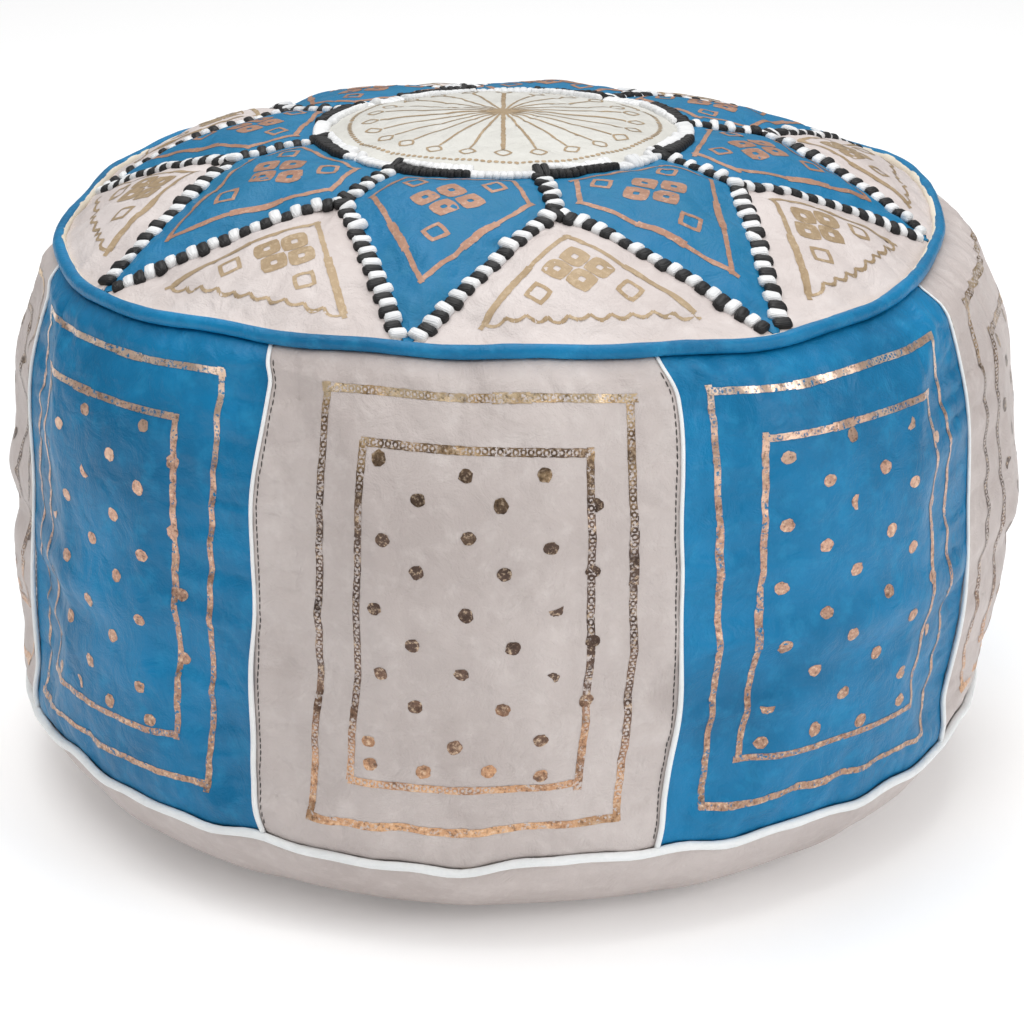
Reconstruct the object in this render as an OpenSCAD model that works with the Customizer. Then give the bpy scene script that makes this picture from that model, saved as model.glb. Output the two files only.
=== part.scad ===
// Round leather floor pouf: a laced star top, eight side panels and a zipped base.
// Millimetres. Z points up, the floor is at z = 0 and the pouf's axis is the Z axis.
// Turns are measured from -Y, the front, towards +X.

/* [Overall] */
// Widest diameter of the leather, at the belly
body_d = 500; // [400:5:640]
// Height of the crown above the floor
body_h = 333; // [270:1:420]

/* [Profile] */
// Radius of the curve that the side follows from the rim to the base seam
side_curve_r = 363; // [300:1:600]
// How far the rim seam is below the crown
rim_drop = 52; // [30:1:70]
// Height of the belly above the floor
belly_z = 139; // [115:1:170]
// Height of the base seam above the floor
base_seam_z = 46; // [36:1:56]
// How far the standing ring's outer edge is inside the base seam
foot_inset = 62; // [48:1:75]
// Width of the flat ring that the pouf stands on
foot_w = 8; // [5:1:12]
// Height that the middle of the base is drawn up
base_lift = 9; // [8.5:0.5:14]

/* [Leather] */
// Thickness of the leather
leather_t = 1.6; // [1:0.1:2.4]
// Gap left at each seam
seam_gap = 0.6; // [0.3:0.1:1]
// Room behind the leather for the turned seam edges
seam_room = 2; // [1.6:0.1:4]

/* [Top pattern] */
// Diameter of the central medallion, with its stitched edge
medallion_d = 185; // [140:1:220]
// Diameter of the circle where the kite seams fork
fork_d = 262; // [215:1:320]
// Turn of the first kite's tip
tip_turn = -11.5; // [-22:0.5:22]
// Width of the lacing across a seam
lacing_w = 8.5; // [5:0.5:12]
// Height of the lacing above the leather
lacing_h = 2.4; // [1:0.1:4]
// Angle that each black stitched arc takes on the medallion's edge
arc_span = 24; // [12:1:32]

/* [Side pattern] */
// Turn of the seam beside the first side panel
side_seam_turn = -27.6; // [-45:0.1:0]
// Diameter of the piping on the upright seams
side_piping_d = 4.5; // [3:0.5:7]
// How far that piping stands proud of the leather
side_piping_proud = 1.5; // [0.5:0.1:2.5]

/* [Rim and base piping] */
// Diameter of the rim piping
rim_piping_d = 8; // [6:0.5:12]
// Diameter of the base piping
base_piping_d = 5.5; // [4:0.5:9]
// Thickness of the leather strip round a piping cord
piping_skin_t = 1.1; // [0.6:0.1:1.5]

/* [Zip] */
// Gap between the slider and each side of the slot in the base
slot_gap = 0.7; // [0.5:0.1:2]
// Distance between two teeth on one side
tooth_pitch = 4; // [3:0.5:6]
// Thickness of the teeth
tooth_t = 2.6; // [2:0.1:3]
// How far each tape reaches past the slot, behind the leather
tape_lap = 10; // [6:1:18]
// Thickness of the tapes
tape_t = 0.7; // [0.4:0.1:0.9]
// Length of the slider
slider_l = 14; // [12:1:18]
// Width of the slider
slider_w = 12; // [11:0.5:16]
// Thickness of the slider's two plates
slider_plate_t = 1.25; // [1:0.05:1.6]
// Length of the pull, from its hinge to its tip
pull_l = 26; // [18:1:34]
// Gap between the pull's tip and the edge of the recess at the end of its travel
pull_gap = 4; // [2:0.5:12]
// Width of the pull
pull_w = 8; // [7.5:0.5:10]
// Thickness of the pull
pull_t = 1.6; // [1.2:0.1:2]

/* [Filling] */
// Thickness of the cotton liner
liner_t = 0.8; // [0.5:0.1:1.5]
// Gap between the liner and what is next to it
liner_gap = 0.4; // [0.3:0.1:1]

/* [Hidden] */
$fn = 96;
panel_count = 8;
step = 360 / panel_count;
eps = 0.01;

blue = "#2a8cc4";
cream = "#d9cecb";
white = "#e8eae4";
black = "#1b1a1c";
steel = "#b9bcc0";
canvas = "#e6dfd0";

// Profile: a spherical crown, one arc down the side, and a rolled foot
body_r = body_d / 2;
side_centre_r = body_r - side_curve_r;
rim_z = body_h - rim_drop;
rim_r = side_centre_r + sqrt(pow(side_curve_r, 2) - pow(rim_z - belly_z, 2));
crown_r = (pow(rim_r, 2) + pow(rim_drop, 2)) / (2 * rim_drop);
crown_z = body_h - crown_r;
base_seam_r = side_centre_r + sqrt(pow(side_curve_r, 2) - pow(belly_z - base_seam_z, 2));
foot_r = base_seam_r - foot_inset;
roll_r = (pow(foot_inset, 2) + pow(base_seam_z, 2)) / (2 * base_seam_z);
ramp_w = 8;
recess_r = foot_r - foot_w - ramp_w;

// Top pattern
medallion_r = medallion_d / 2;
fork_r = fork_d / 2;
rim_piping_r = rim_piping_d / 2;
base_piping_r = base_piping_d / 2;
top_edge_r = rim_r - rim_piping_r - seam_gap / 2;
stitch_gap = 0.1;
arc_tip_w = 1.5;

// Side pattern
side_piping_r = side_piping_d / 2;
side_piping_sink = side_piping_r - side_piping_proud;
panel_top_z = rim_z - rim_piping_r - seam_gap / 2;
panel_bottom_z = base_seam_z + base_piping_r + seam_gap / 2;
side_gap_angle = asin((side_piping_r + seam_gap / 2) / rim_r);

// Zip, from the leather upwards
tape_gap = 0.3;
tape_z = base_lift + leather_t + tape_gap;
zip_mid_z = tape_z + tape_t / 2;
tooth_reach = 1.2;
tooth_w = tooth_pitch / 2 - 0.3;
row_inner = 1.8;
row_outer = 3.4;
stop_l = 3;
stop_w = 1.6;
end_gap = 0.2;
plate_gap = 0.3;
plate_in = tooth_t / 2 + plate_gap;
slider_out = plate_in + slider_plate_t;
flange_t = 1.3;
post_l = 3;
post_w = 2;
slot_r = slider_w / 2 + slot_gap;
tape_w = slot_r + tape_lap;
slider_x = recess_r - pull_gap - pull_l;
zip_end = slider_x + slider_l / 2 + 2 * end_gap + stop_l;
row_start = -zip_end + stop_l + 2 * end_gap;
row_end = slider_x + slider_l / 2 - post_l - 2 * end_gap;
hinge_clearance = 0.1;
pin_r = 1.15;
crown_w = 2.4;
crown_l = 8;
crown_wall = 0.9;
hinge_drop = 0.9;
hinge_z = zip_mid_z - slider_out - pin_r - hinge_drop;
arm_gap = 0.4;

// Filling
liner_depth = leather_t + seam_room;
fill_depth = liner_depth + liner_t + liner_gap;
liner_z = zip_mid_z + slider_out + 1;

// A point in plan at a radius and a turn
function at(r, turn) = [r * sin(turn), -r * cos(turn)];
function tip_at(k) = tip_turn + step * (k - 1);
function seam_at(k) = side_seam_turn + step * (k - 1);

// The space between two spheres that follow the crown, from one depth to a smaller one.
// A depth below 0 is above the leather.
module crown_layer(inner, outer) {
    translate([0, 0, crown_z])
        difference() {
            sphere(crown_r - outer);
            sphere(crown_r - inner);
        }
}

// The part of such a layer that stands on a plan outline
module crown_piece(inner, outer) {
    intersection() {
        crown_layer(inner, outer);
        translate([0, 0, rim_z - 10])
            linear_extrude(rim_drop + 30)
                children();
    }
}

// A plan strip of a given width round the line from a to b
module strip(a, b, w, extra = 0) {
    d = b - a;
    translate(a)
        rotate(atan2(d[1], d[0]))
            translate([-extra, -w / 2])
                square([norm(d) + 2 * extra, w]);
}

module ring(outer, inner) {
    difference() {
        circle(outer);
        circle(inner);
    }
}

// Seam slots round one kite: two radial seams and two long seams
module kite_seams(k, w) {
    turn = tip_at(k);
    for (s = [-1, 1]) {
        fork = at(fork_r, turn + s * step / 2);
        strip([0, 0], fork, w, 1);
        strip(fork, at(rim_r, turn), w, 1);
    }
}

module kite_outline(k) {
    turn = tip_at(k);
    difference() {
        intersection() {
            polygon([
                [0, 0],
                at(fork_r, turn - step / 2),
                at(rim_r, turn),
                at(fork_r, turn + step / 2)
            ]);
            ring(top_edge_r, medallion_r + seam_gap / 2);
        }
        kite_seams(k, seam_gap);
    }
}

module triangle_outline(k) {
    turn = tip_at(k);
    far = rim_r * 1.12;
    fork = at(fork_r, turn + step / 2);
    difference() {
        intersection() {
            polygon([
                fork,
                at(rim_r, turn),
                at(far, turn),
                at(far, turn + step),
                at(rim_r, turn + step)
            ]);
            circle(top_edge_r);
        }
        kite_seams(k, seam_gap);
        kite_seams(k + 1, seam_gap);
        strip(at(rim_r - rim_piping_d * 2, turn), at(far, turn), seam_gap);
        strip(at(rim_r - rim_piping_d * 2, turn + step), at(far, turn + step), seam_gap);
    }
}

module kite(k) {
    color(blue)
        crown_piece(leather_t, 0)
            kite_outline(k);
}

module triangle(k) {
    color(cream)
        crown_piece(leather_t, 0)
            triangle_outline(k);
}

module medallion() {
    color(white)
        crown_piece(leather_t, 0)
            circle(medallion_r - seam_gap / 2);
}

// The V of lacing on the two long seams of a kite, kept inside the kite's own eighth
module kite_lacing(k) {
    turn = tip_at(k);
    far = rim_r * 1.12;
    color(black)
        crown_piece(-stitch_gap, -lacing_h)
            intersection() {
                union() {
                    for (s = [-1, 1])
                        strip(at(fork_r, turn + s * step / 2), at(rim_r, turn), lacing_w);
                }
                ring(top_edge_r, fork_r);
                polygon([
                    at(seam_gap, turn),
                    at(far, turn - step / 2 + 0.2),
                    at(far, turn + step / 2 - 0.2)
                ]);
            }
}

// The short lacing bars between neighbouring kites
module radial_lacing() {
    color(black)
        crown_piece(-stitch_gap, -lacing_h)
            intersection() {
                union() {
                    for (k = [1:panel_count])
                        strip([0, 0], at(rim_r, tip_at(k) + step / 2), lacing_w);
                }
                ring(fork_r - seam_gap, medallion_r + seam_gap);
            }
}

// A tapering arc on the medallion's edge, widest at its first end
module edge_arc(turn, grow) {
    inner = medallion_r - lacing_w - 1;
    outer = medallion_r + 1;
    tip = medallion_r - arc_tip_w;
    steps = 6;
    rotate(turn)
        polygon(concat(
            [for (i = [0:steps])
                at(inner + (tip - inner) * i / steps - grow, i * arc_span / steps)],
            [for (i = [steps:-1:0])
                at(outer, i * arc_span / steps)]
        ));
}

module edge_arcs(grow) {
    for (k = [1:panel_count])
        edge_arc(tip_at(k) + step / 2, grow);
}

module medallion_edging_white() {
    color(white)
        crown_piece(-stitch_gap, -lacing_h)
            difference() {
                ring(medallion_r, medallion_r - lacing_w);
                edge_arcs(stitch_gap);
                for (k = [1:panel_count])
                    rotate(tip_at(k) + step / 2)
                        translate([-stitch_gap, -medallion_r - 1])
                            square([stitch_gap * 2, lacing_w + 2]);
            }
}

module medallion_edging_black() {
    color(black)
        crown_piece(-stitch_gap, -lacing_h)
            intersection() {
                ring(medallion_r - stitch_gap, medallion_r - lacing_w + stitch_gap);
                edge_arcs(0);
                // trims the square ends clear of the white stitches
                difference() {
                    circle(medallion_r);
                    for (k = [1:panel_count])
                        rotate(tip_at(k) + step / 2)
                            translate([-stitch_gap * 2, -medallion_r - 1])
                                square([stitch_gap * 4, lacing_w + 2]);
                }
            }
}

// Half plane pieces of the profile plane: x is the radius and y the height
module band(low, high) {
    translate([0, low])
        square([body_r + 20, high - low]);
}

// Outline of the side at a depth below the leather's outer face
module side_outline(depth) {
    intersection() {
        translate([side_centre_r, belly_z])
            circle(side_curve_r - depth);
        band(-1, body_h);
    }
}

module side_panel(k) {
    color(k % 2 == 1 ? cream : blue)
        rotate(seam_at(k) - 90 + side_gap_angle)
            rotate_extrude(angle = step - 2 * side_gap_angle)
                intersection() {
                    difference() {
                        side_outline(0);
                        side_outline(leather_t);
                    }
                    band(panel_bottom_z, panel_top_z);
                }
}

// A round cord bent along the side's curve between the rim and the base seam
module side_piping(k) {
    top = asin((panel_top_z - side_piping_r / 2 - belly_z) / side_curve_r);
    bottom = asin((panel_bottom_z + side_piping_r / 2 - belly_z) / side_curve_r);
    color(white)
        rotate([90, 0, seam_at(k) - 90])
            translate([side_centre_r, belly_z])
                rotate(bottom)
                    rotate_extrude(angle = top - bottom)
                        translate([side_curve_r - side_piping_sink, 0])
                            circle(side_piping_r, $fn = 32);
}

module piping_skin(r, z, cord_r) {
    rotate_extrude()
        translate([r, z])
            difference() {
                circle(cord_r, $fn = 48);
                circle(cord_r - piping_skin_t, $fn = 48);
            }
}

module piping_cord(r, z, cord_r) {
    rotate_extrude()
        translate([r, z])
            circle(cord_r - piping_skin_t - stitch_gap, $fn = 48);
}

module rim_piping() {
    color(blue)
        piping_skin(rim_r, rim_z, rim_piping_r);
}

module rim_piping_cord() {
    color(canvas)
        piping_cord(rim_r, rim_z, rim_piping_r);
}

module base_piping() {
    color(white)
        piping_skin(base_seam_r, base_seam_z, base_piping_r);
}

module base_piping_cord() {
    color(canvas)
        piping_cord(base_seam_r, base_seam_z, base_piping_r);
}

// Profile of the base leather: rolled edge, standing ring, ramp and raised middle
module base_profile() {
    top = base_seam_z - base_piping_r - seam_gap / 2;
    intersection() {
        translate([foot_r, roll_r])
            ring(roll_r, roll_r - leather_t);
        translate([foot_r, 0])
            square([foot_inset, top]);
    }
    translate([foot_r - foot_w, 0])
        square([foot_w + eps, leather_t]);
    polygon([
        [foot_r - foot_w + eps, 0],
        [foot_r - foot_w + eps, leather_t],
        [recess_r, base_lift + leather_t],
        [recess_r - eps, base_lift + leather_t],
        [recess_r - eps, base_lift],
        [recess_r, base_lift]
    ]);
    translate([0, base_lift])
        square([recess_r, leather_t]);
}

// One half of the base, cut back round the zip
module base_half(side) {
    reach = body_r + 10;
    color(cream)
        difference() {
            rotate_extrude()
                base_profile();
            translate([-reach, side > 0 ? -reach : -seam_gap / 2, -1])
                cube([2 * reach, reach + seam_gap / 2, body_h]);
            translate([-zip_end, -slot_r, base_lift - 1])
                cube([2 * zip_end, 2 * slot_r, leather_t + 2]);
        }
}

module base_front() {
    base_half(-1);
}

module base_back() {
    base_half(1);
}

module zip_tape(side) {
    reach = zip_end + tape_lap;
    color(canvas)
        translate([-reach, side > 0 ? row_outer : -tape_w, tape_z])
            cube([2 * reach, tape_w - row_outer, tape_t]);
}

module zip_tape_front() {
    zip_tape(-1);
}

module zip_tape_back() {
    zip_tape(1);
}

// One row of teeth on its spine. The back row's teeth sit in the front row's gaps.
module zip_row(side) {
    start = row_start + (side > 0 ? tooth_pitch / 2 : 0);
    count = floor((row_end - start - tooth_w) / tooth_pitch);
    color(white)
        translate([0, 0, zip_mid_z - tooth_t / 2])
            union() {
                translate([row_start, side > 0 ? row_inner : -row_outer, 0])
                    cube([row_end - row_start, row_outer - row_inner, tooth_t]);
                for (i = [0:count])
                    translate([
                        start + i * tooth_pitch,
                        side > 0 ? -tooth_reach : -row_inner - eps,
                        0
                    ])
                        cube([tooth_w, row_inner + tooth_reach + eps, tooth_t]);
            }
}

module zip_teeth_front() {
    zip_row(-1);
}

module zip_teeth_back() {
    zip_row(1);
}

// A closed end stop across both rows, and an open one on each tape
module zip_stops() {
    color(steel)
        translate([0, 0, zip_mid_z - tooth_t / 2]) {
            translate([row_start - stop_l - end_gap, -row_outer, 0])
                cube([stop_l, 2 * row_outer, tooth_t]);
            for (s = [-1, 1])
                translate([
                    zip_end - stop_l - end_gap,
                    s > 0 ? row_outer - stop_w : -row_outer,
                    0
                ])
                    cube([stop_l, stop_w, tooth_t]);
        }
}

// Two plates joined by a post at the front, with flanges that hold the tapes
module zip_slider() {
    flange_z = plate_in - tape_t / 2 - tape_gap;
    color(steel)
        translate([slider_x, 0, zip_mid_z])
            difference() {
                union() {
                    for (s = [-1, 1])
                        translate([-slider_l / 2, -slider_w / 2, s > 0 ? plate_in : -slider_out])
                            cube([slider_l, slider_w, slider_plate_t]);
                    translate([slider_l / 2 - post_l, -post_w / 2, -plate_in - eps])
                        cube([post_l, post_w, 2 * (plate_in + eps)]);
                    for (s = [-1, 1])
                        for (t = [-1, 1])
                            translate([
                                -slider_l / 2,
                                s > 0 ? slider_w / 2 - flange_t : -slider_w / 2,
                                t > 0 ? plate_in - flange_z : -plate_in - eps
                            ])
                                cube([slider_l, flange_t, flange_z + eps]);
                    slider_crown();
                }
                translate([0, 0, hinge_z - zip_mid_z])
                    rotate([90, 0, 0])
                        cylinder(h = crown_w + 2, r = pin_r + hinge_clearance, center = true);
            }
}

// The loop under the slider that the pull hangs from
module slider_crown() {
    drop = hinge_z - zip_mid_z - pin_r - hinge_clearance - crown_wall;
    translate([-crown_l / 2, -crown_w / 2, drop])
        cube([crown_l, crown_w, -drop - slider_out + eps]);
}

// A stirrup with a pin through the slider's loop and a flat tab
module zip_pull() {
    arm_in = crown_w / 2 + arm_gap;
    arm_l = crown_l / 2 + 1.5;
    hole_r = 1.6;
    color(steel)
        translate([slider_x, 0, hinge_z])
            difference() {
                union() {
                    rotate([90, 0, 0])
                        cylinder(h = pull_w, r = pin_r, center = true);
                    for (s = [-1, 1])
                        translate([-arm_l - eps, s > 0 ? arm_in : -pull_w / 2, -pull_t / 2])
                            cube([arm_l + eps, pull_w / 2 - arm_in, pull_t]);
                    translate([-pull_l + pull_w / 2, -pull_w / 2, -pull_t / 2])
                        cube([pull_l - pull_w / 2 - arm_l, pull_w, pull_t]);
                    translate([-pull_l + pull_w / 2, 0, -pull_t / 2])
                        cylinder(h = pull_t, r = pull_w / 2);
                }
                translate([-pull_l + pull_w / 2, 0, -pull_t])
                    cylinder(h = 2 * pull_t, r = hole_r);
            }
}

// Everything inside the leather at a depth, above a level
module inner_profile(depth, floor_z) {
    relief = depth - leather_t;
    difference() {
        intersection() {
            side_outline(depth);
            translate([0, crown_z])
                circle(crown_r - depth);
            union() {
                band(base_seam_z, body_h);
                square([foot_r, body_h]);
                translate([foot_r, roll_r])
                    circle(roll_r - depth);
            }
            band(floor_z, body_h);
        }
        translate([rim_r, rim_z])
            circle(rim_piping_r + relief, $fn = 48);
        translate([base_seam_r, base_seam_z])
            circle(base_piping_r + relief, $fn = 48);
    }
}

module liner_bag() {
    color(canvas)
        difference() {
            rotate_extrude()
                inner_profile(liner_depth, liner_z);
            rotate_extrude()
                inner_profile(liner_depth + liner_t, liner_z + liner_t);
        }
}

module stuffing() {
    color("white")
        rotate_extrude()
            inner_profile(fill_depth, liner_z + liner_t + liner_gap);
}

medallion();
for (k = [1:panel_count]) {
    kite(k);
    triangle(k);
    kite_lacing(k);
    side_panel(k);
    side_piping(k);
}
radial_lacing();
medallion_edging_white();
medallion_edging_black();
rim_piping();
rim_piping_cord();
base_piping();
base_piping_cord();
base_front();
base_back();
zip_tape_front();
zip_tape_back();
zip_teeth_front();
zip_teeth_back();
zip_stops();
zip_slider();
zip_pull();
liner_bag();
stuffing();
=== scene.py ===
"""Looks for a round leather floor pouf: laced star top, printed side panels, piped seams, zipped base."""
import math
import random

import bmesh
import bpy
import numpy as np
from mathutils import Matrix, Vector, noise
from mathutils.bvhtree import BVHTree


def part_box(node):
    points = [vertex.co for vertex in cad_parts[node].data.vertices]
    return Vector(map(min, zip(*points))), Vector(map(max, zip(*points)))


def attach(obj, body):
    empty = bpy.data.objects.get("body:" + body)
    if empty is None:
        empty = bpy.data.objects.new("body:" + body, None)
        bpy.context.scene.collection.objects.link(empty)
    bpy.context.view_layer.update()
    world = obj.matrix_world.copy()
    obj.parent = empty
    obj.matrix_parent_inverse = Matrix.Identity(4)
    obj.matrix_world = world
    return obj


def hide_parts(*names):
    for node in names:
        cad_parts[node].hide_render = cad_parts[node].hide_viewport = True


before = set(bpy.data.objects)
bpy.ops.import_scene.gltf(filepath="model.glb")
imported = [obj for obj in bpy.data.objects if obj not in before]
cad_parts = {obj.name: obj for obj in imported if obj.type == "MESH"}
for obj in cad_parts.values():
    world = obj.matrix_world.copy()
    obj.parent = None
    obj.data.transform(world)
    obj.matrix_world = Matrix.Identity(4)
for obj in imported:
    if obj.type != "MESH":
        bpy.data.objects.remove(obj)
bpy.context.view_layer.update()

MM = 0.001
PANELS = 8
NUMBERS = range(1, PANELS + 1)
STEP = 360 / PANELS
BODY = "pouf"

# Sizes that the frame gives: the rim, the hem at the base, the crown, the belly and the slot of the zip
rim_low, rim_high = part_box("rim_piping")
RIM_CORD = (rim_high.z - rim_low.z) / 2
RIM_R = rim_high.x - RIM_CORD
RIM_Z = rim_low.z + RIM_CORD
hem_low, hem_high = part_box("base_piping")
HEM_CORD = (hem_high.z - hem_low.z) / 2
HEM_R = hem_high.x - HEM_CORD
HEM_Z = hem_low.z + HEM_CORD
TOP_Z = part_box("medallion")[1].z
BELLY_R = max(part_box(f"side_panel_{k}")[1].x for k in NUMBERS)
MEDALLION_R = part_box("medallion_edging_white")[1].x
LIFT_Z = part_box("zip_tape_front")[0].z - 1.9 * MM
SLOT_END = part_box("zip_stops")[1].x + 0.4 * MM
SLOT_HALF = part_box("zip_slider")[1].y + 0.7 * MM

# Sizes of the pattern
FORK_R = 131 * MM
TIP_TURN = -11.5
SEAM_TURN = -27.6
BELLY_Z = 139 * MM
SIDE_CURVE = 363 * MM
FOOT_R = 176 * MM
LEATHER = 1.6 * MM

# Thread work
LACE_W = 8.8 * MM
LACE_HIGH = 4.6 * MM
KITE_PITCH = 4.75 * MM
RADIAL_PITCH = 4.3 * MM
EDGE_STITCHES = 168
ARC_SPAN = 26
STITCH = (2.9 * MM, 0.7 * MM, 0.6 * MM)

# Thin layers: how far borders lie below the nominal surface, and foil above the leather
TOP_SINK = 1.4 * MM
SIDE_SINK = 1.5 * MM
FOIL_LIFT = 0.16 * MM
FOIL_OVER = 0.2 * MM
LACE_LIFT = 0.9 * MM
STITCH_LIFT = 0.1 * MM

# Cloth simulation
SIM_FRAMES = 20

# A point well inside the pouf, for telling outer faces
MIDDLE = Vector((0, 0, 150 * MM))

# The crown is a spherical cap and the side is one arc
rise = TOP_Z - RIM_Z
CROWN_R = (RIM_R ** 2 + rise ** 2) / (2 * rise)
CROWN_MID = TOP_Z - CROWN_R
SIDE_MID = BELLY_R - SIDE_CURVE

rng = random.Random(7)


# ---------------------------------------------------------------- shapes

def at(r, turn, z=0.0):
    """A point at a radius and a turn, from the front, -Y, towards +X."""
    a = math.radians(turn)
    return Vector((r * math.sin(a), -r * math.cos(a), z))


def side_r(z):
    """The side's radius at a height."""
    return SIDE_MID + math.sqrt(SIDE_CURVE ** 2 - (z - BELLY_Z) ** 2)


def on_crown(x, y, lift=0.0):
    """The crown's point over a point in plan, lifted along the crown's normal."""
    p = Vector((x, y, math.sqrt(CROWN_R ** 2 - x * x - y * y)))
    return p * (1 + lift / CROWN_R) + Vector((0, 0, CROWN_MID))


def on_side(turn, z, lift=0.0):
    """The side's point at a turn and a height, lifted along the side's normal."""
    r = side_r(z)
    slope = (z - BELLY_Z) / SIDE_CURVE
    out = at(math.sqrt(1 - slope ** 2), turn, slope)
    return at(r, turn, z) + out * lift


def kite_plan(turn, s, t):
    """Plan point of a kite: s from -1 to 1 across it, t from 0 at the medallion to 1 at the tip."""
    inner = MEDALLION_R - 4 * MM
    knee = 0.3
    ends = []
    for side in (-1, 1):
        fork = at(FORK_R, turn + side * STEP / 2)
        if t < knee:
            ends.append(at(inner, turn + side * STEP / 2).lerp(fork, t / knee))
        else:
            ends.append(fork.lerp(at(RIM_R - 1 * MM, turn), (t - knee) / (1 - knee)))
    sag = inner * (1 - math.cos(math.radians(STEP / 2))) * (1 - t) ** 2
    return ends[0].lerp(ends[1], (s + 1) / 2) + at(sag * (1 - s * s), turn)


def triangle_plan(turn, s, t):
    """Plan point of a triangle: t from 0 at the fork to 1 at the rim."""
    fork = at(FORK_R, turn)
    ends = [fork.lerp(at(RIM_R, turn + side * STEP / 2), t) for side in (-1, 1)]
    sag = RIM_R * (1 - math.cos(math.radians(STEP / 2))) * t
    return ends[0].lerp(ends[1], (s + 1) / 2) + at(sag * (1 - s * s), turn)


def wave_at(a, b, c):
    """Smooth noise at three coordinates."""
    return noise.noise(Vector((a, b, c)))


def pillow(s, t, power=4):
    """0 on the edges of a panel and 1 in its middle."""
    return (1 - abs(s) ** power) * (1 - abs(2 * t - 1) ** power)


# ---------------------------------------------------------------- modelling tools

def only(obj):
    """Selects one object and makes it active."""
    bpy.ops.object.select_all(action="DESELECT")
    obj.select_set(True)
    bpy.context.view_layer.objects.active = obj
    return obj


def added(name):
    """Names the primitive that was just added."""
    obj = bpy.context.active_object
    obj.name = name
    obj.data.name = name
    return only(obj)


def fix_place(obj):
    """Moves an object's place into its mesh."""
    only(obj)
    bpy.ops.object.transform_apply(location=True, rotation=True, scale=True)
    return obj


def apply_modifier(obj, kind, **settings):
    """Adds a modifier, sets it and applies it."""
    only(obj)
    m = obj.modifiers.new(kind.title(), kind)
    for key, value in settings.items():
        setattr(m, key, value)
    bpy.ops.object.modifier_apply(modifier=m.name)
    return obj


def coordinates(obj):
    """A mesh's vertices as rows of x, y, z."""
    co = np.zeros(len(obj.data.vertices) * 3)
    obj.data.vertices.foreach_get("co", co)
    return co.reshape(-1, 3)


def set_coordinates(obj, co):
    """Puts a mesh's vertices at rows of x, y, z."""
    obj.data.vertices.foreach_set("co", np.ascontiguousarray(co, float).ravel())
    obj.data.update()


def linked(name, mesh):
    """A new object in the scene for a mesh."""
    obj = bpy.data.objects.new(name, mesh)
    bpy.context.collection.objects.link(obj)
    return obj


def built(name, points, faces, slots, materials):
    """A smooth object from points and faces, with a material slot for each face."""
    mesh = bpy.data.meshes.new(name)
    mesh.from_pydata(points, [], faces)
    mesh.polygons.foreach_set("material_index", slots)
    mesh.polygons.foreach_set("use_smooth", [True] * len(faces))
    for m in materials:
        mesh.materials.append(m)
    return linked(name, mesh)


def sheet(name, columns, rows, place):
    """A grid of leather laid where place(s, t) says. The vertices on its edge go into the group held."""
    bpy.ops.mesh.primitive_grid_add(x_subdivisions=columns, y_subdivisions=rows, size=2)
    obj = added(name)
    held = obj.vertex_groups.new(name="held")
    edge = []
    for v in obj.data.vertices:
        s, t = v.co.x, (v.co.y + 1) / 2
        if abs(s) > 0.9999 or t < 0.0001 or t > 0.9999:
            edge.append(v.index)
        v.co = place(s, t)
    held.add(edge, 1.0, "REPLACE")
    only(obj)
    bpy.ops.object.mode_set(mode="EDIT")
    bpy.ops.mesh.select_all(action="SELECT")
    bpy.ops.mesh.remove_doubles(threshold=0.2 * MM)
    bpy.ops.mesh.normals_make_consistent(inside=False)
    bpy.ops.object.mode_set(mode="OBJECT")
    return face_out(obj)


def face_out(obj):
    """Turns a sheet's faces away from the middle of the pouf."""
    facing = sum((p.center - MIDDLE).dot(p.normal) * p.area for p in obj.data.polygons)
    if facing < 0:
        only(obj)
        bpy.ops.object.mode_set(mode="EDIT")
        bpy.ops.mesh.select_all(action="SELECT")
        bpy.ops.mesh.flip_normals()
        bpy.ops.object.mode_set(mode="OBJECT")
    return obj


def stuff(sheets, pressure, slack, cap):
    """Blows the sheets up as stuffed leather held at its seams, and caps how far they move."""
    starts = [coordinates(o) for o in sheets]
    for o in sheets:
        only(o)
        m = o.modifiers.new("Cloth", "CLOTH")
        c = m.settings
        c.quality = 6
        c.mass = 0.4
        c.tension_stiffness = 25
        c.compression_stiffness = 25
        c.shear_stiffness = 15
        c.bending_stiffness = 1.2
        c.use_pressure = True
        c.uniform_pressure_force = pressure
        c.shrink_min = -slack
        c.vertex_group_mass = "held"
        c.effector_weights.gravity = 0
        m.point_cache.frame_start = 1
        m.point_cache.frame_end = SIM_FRAMES
    for f in range(1, SIM_FRAMES + 1):
        bpy.context.scene.frame_set(f)
    for o, start in zip(sheets, starts):
        only(o)
        bpy.ops.object.modifier_apply(modifier="Cloth")
        move = coordinates(o) - start
        far = np.maximum(np.linalg.norm(move, axis=1, keepdims=True), 1e-9)
        set_coordinates(o, start + move * np.minimum(1, cap / far))
    bpy.context.scene.frame_set(1)


# ---------------------------------------------------------------- leather panels

def tip_turn(k):
    """The turn of kite k's tip."""
    return TIP_TURN + STEP * (k - 1)


def seam_turn(k):
    """The nominal turn of side seam k, at the left of side panel k."""
    return SEAM_TURN + STEP * (k - 1)


def top_panel(name, plan, turn, columns, rows, puff):
    """A kite or triangle, sunk at its seams and puffed up in its middle."""
    def place(s, t):
        p = plan(turn, s, t)
        return on_crown(p.x, p.y, puff * pillow(s, t) - TOP_SINK)

    return sheet(name, columns, rows, place)


# How far each side seam bows out round its cream panel, in mm
SEAM_BOW = (6.0, 1.5, 3.0, 2.5, 2.0, 3.0, 2.5, 2.0)


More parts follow.
